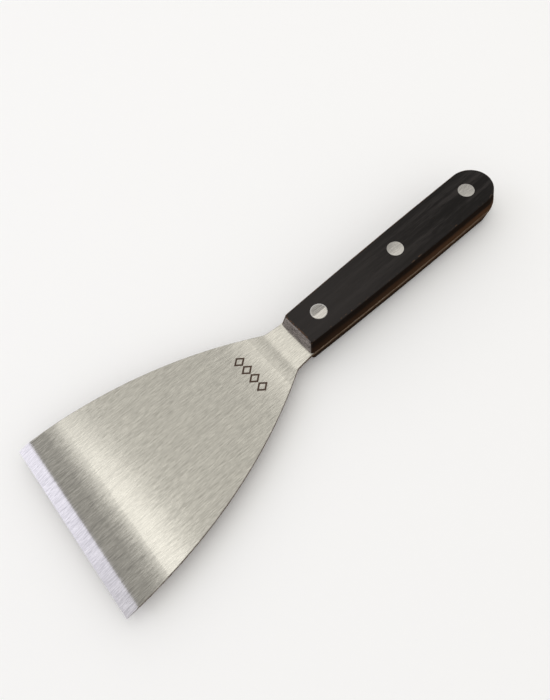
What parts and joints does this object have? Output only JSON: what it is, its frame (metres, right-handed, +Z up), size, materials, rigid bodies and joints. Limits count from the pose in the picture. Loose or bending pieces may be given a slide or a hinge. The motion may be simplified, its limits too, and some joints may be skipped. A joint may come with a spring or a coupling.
{
  "type": "grill spatula",
  "caption": "One-handed griddle spatula: fan-shaped brushed steel blade with a bevelled front edge, full tang, dark wood scales and flush rivets.",
  "frame": {"origin": "under the middle of the overall length, on the plane of symmetry, level with the lowest point of the handle", "axes": "+X from the butt to the cutting edge, +Z up out of the blade's top face, +Y to the left of +X; the XZ plane is the plane of symmetry"},
  "size_m": [0.2564, 0.0896, 0.0182],
  "materials": {
    "blade_steel": "brushed along the length, satin",
    "handle_wood": "black-stained laminated wood, oiled satin",
    "rivet_steel": "ground flush, satin"
  },
  "bodies": {
    "root": {"blade": "blade_steel", "scale_upper": "handle_wood", "scale_lower": "handle_wood", "rivet_front_socket": "rivet_steel", "rivet_front_pin": "rivet_steel", "rivet_mid_socket": "rivet_steel", "rivet_mid_pin": "rivet_steel", "rivet_rear_socket": "rivet_steel", "rivet_rear_pin": "rivet_steel"}
  },
  "joints": []
}
